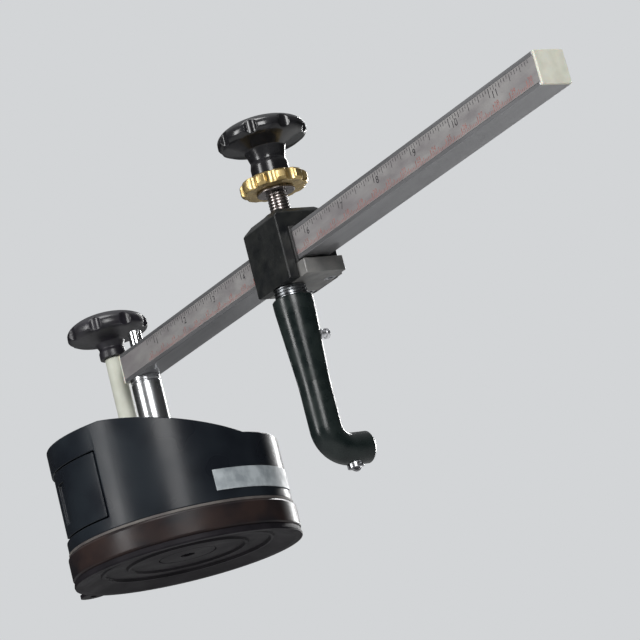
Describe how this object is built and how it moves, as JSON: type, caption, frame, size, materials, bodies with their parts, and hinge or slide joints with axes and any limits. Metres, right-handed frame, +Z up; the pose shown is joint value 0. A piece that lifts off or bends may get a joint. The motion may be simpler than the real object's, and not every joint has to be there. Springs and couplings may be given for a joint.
{
  "type": "oval and circle glass cutter",
  "caption": "Oval and circle glass cutter: a lever-locked suction base with a cross-slot trammel, a square scale bar on a pivot post, and a sliding head with a sprung swivel cutting arm.",
  "frame": {"origin": "on the glass plane under the pivot post's axis, at the centre of the suction base", "axes": "+X along the scale bar from the pivot post to the cutting head, +Z up off the glass; the bar's scale faces -Y"},
  "size_m": [0.3608, 0.098, 0.1444],
  "materials": {
    "cup_rubber": "semi-matt moulded rubber",
    "housing_plastic": "black moulded plastic, semi-gloss",
    "seal_grey": "pale grey, matt",
    "label_white": "blank printed label, satin",
    "knob_plastic": "black phenolic, polished",
    "cast_zinc": "die casting, satin",
    "brass": "turned brass",
    "chrome": "polished plating",
    "nickel": "satin nickel plate",
    "bar_metal": "drawn square tube, satin",
    "scale_face": "printed scale strip",
    "cap_plastic": "cream moulded plastic",
    "head_enamel": "charcoal enamel, satin",
    "arm_enamel": "green-black enamel, gloss",
    "liner_plastic": "low-friction liner",
    "steel": "turned steel",
    "spring_steel": "wire",
    "carbide": "ground tungsten carbide"
  },
  "bodies": {
    "base": {"suction_cup": "cup_rubber", "cup_ring": "housing_plastic", "seal_ring": "seal_grey", "base_plate": "cast_zinc", "base_screws": "steel", "housing": "housing_plastic", "label_plate": "label_white", "track_plate": "cast_zinc", "track_screws": "steel"},
    "lever": {"suction_lever": "housing_plastic"},
    "stud": {"pull_stud": "steel", "cam_pin": "steel", "cup_button": "cup_rubber"},
    "post_carriage": {"post_shoe": "brass"},
    "offset_carriage": {"offset_shoe": "brass"},
    "bar": {"link_plate": "cast_zinc", "main_post": "chrome", "post_bushing": "brass", "bar_screw": "chrome", "bar_washer": "chrome", "measuring_bar": "bar_metal", "scale_strip": "scale_face", "end_caps": "cap_plastic"},
    "offset_post": {"offset_post": "nickel"},
    "slot_nut": {"slot_nut": "brass"},
    "offset_clamp": {"clamp_rod": "steel", "offset_knob": "knob_plastic"},
    "head": {"head_block": "head_enamel", "head_saddle": "head_enamel", "saddle_screws": "steel", "guide_liner": "liner_plastic", "guide_rod": "steel", "pressure_spring": "spring_steel"},
    "clamp_pad": {"clamp_pad": "brass"},
    "spindle": {"clamp_spindle": "steel", "top_knob": "knob_plastic"},
    "lock_washer": {"lock_washer": "steel"},
    "lock_nut": {"lock_nut": "brass"},
    "spring_seat": {"spring_seat": "steel"},
    "arm": {"swivel_arm": "arm_enamel", "retaining_pin": "chrome", "arm_screw": "steel", "wheel_holder": "steel", "wheel_axle": "steel"},
    "wheel": {"cutting_wheel": "carbide"}
  },
  "joints": [
    {"name": "lever_swing", "type": "hinge", "parent": "base", "child": "lever", "pos_m": [0, 0, 0.0215], "axis": [0, 0, 1], "range_deg": [-50, 0]},
    {"name": "stud_lift", "type": "slide", "parent": "base", "child": "stud", "axis": [0, 0, 1], "range_m": [-0.0025, 0]},
    {"name": "post_travel", "type": "slide", "parent": "base", "child": "post_carriage", "axis": [0, 1, 0], "range_m": [-0.022, 0.022]},
    {"name": "offset_travel", "type": "slide", "parent": "base", "child": "offset_carriage", "axis": [1, 0, 0], "range_m": [-0.005, 0.0115]},
    {"name": "bar_turn", "type": "hinge", "parent": "post_carriage", "child": "bar", "pos_m": [0, 0, 0.05], "axis": [0, 0, -1], "continuous": true},
    {"name": "offset_adjust", "type": "slide", "parent": "bar", "child": "offset_post", "axis": [1, 0, 0], "range_m": [0, 0.009]},
    {"name": "offset_knob_turn", "type": "hinge", "parent": "offset_post", "child": "offset_clamp", "pos_m": [-0.022, 0, 0.1], "axis": [0, 0, 1], "range_deg": [0, 360]},
    {"name": "slot_nut_lift", "type": "slide", "parent": "offset_post", "child": "slot_nut", "axis": [0, 0, 1], "range_m": [-0.0007, 0]},
    {"name": "head_slide", "type": "slide", "parent": "bar", "child": "head", "axis": [1, 0, 0], "range_m": [-0.06, 0.155]},
    {"name": "pad_lift", "type": "slide", "parent": "head", "child": "clamp_pad", "axis": [0, 0, 1], "range_m": [0, 0.00125]},
    {"name": "top_knob_turn", "type": "hinge", "parent": "clamp_pad", "child": "spindle", "pos_m": [0.131, 0, 0.12], "axis": [0, 0, 1], "range_deg": [0, 360]},
    {"name": "washer_travel", "type": "slide", "parent": "spindle", "child": "lock_washer", "axis": [0, 0, 1], "range_m": [-0.008, 0]},
    {"name": "lock_nut_turn", "type": "hinge", "parent": "lock_washer", "child": "lock_nut", "pos_m": [0.131, 0, 0.1178], "axis": [0, 0, 1], "range_deg": [-2304, 0]},
    {"name": "arm_press", "type": "slide", "parent": "head", "child": "spring_seat", "axis": [0, 0, 1], "range_m": [0, 0.003], "stiffness_N_per_m": 600, "springref_m": -0.015, "deforming": ["pressure_spring"]},
    {"name": "arm_swivel", "type": "hinge", "parent": "spring_seat", "child": "arm", "pos_m": [0.131, -0.005, 0.05], "axis": [0, 0, 1], "continuous": true},
    {"name": "wheel_spin", "type": "hinge", "parent": "arm", "child": "wheel", "pos_m": [0.131, 0.004, 0.00275], "axis": [1, 0, 0], "continuous": true}
  ],
  "couplings": [
    {"joint": "lever_swing", "follows": "stud_lift", "rad_per_m": 349},
    {"joint": "offset_knob_turn", "follows": "slot_nut_lift", "rad_per_m": -8975},
    {"joint": "top_knob_turn", "follows": "pad_lift", "rad_per_m": 5026},
    {"joint": "lock_nut_turn", "follows": "washer_travel", "rad_per_m": 5026}
  ]
}
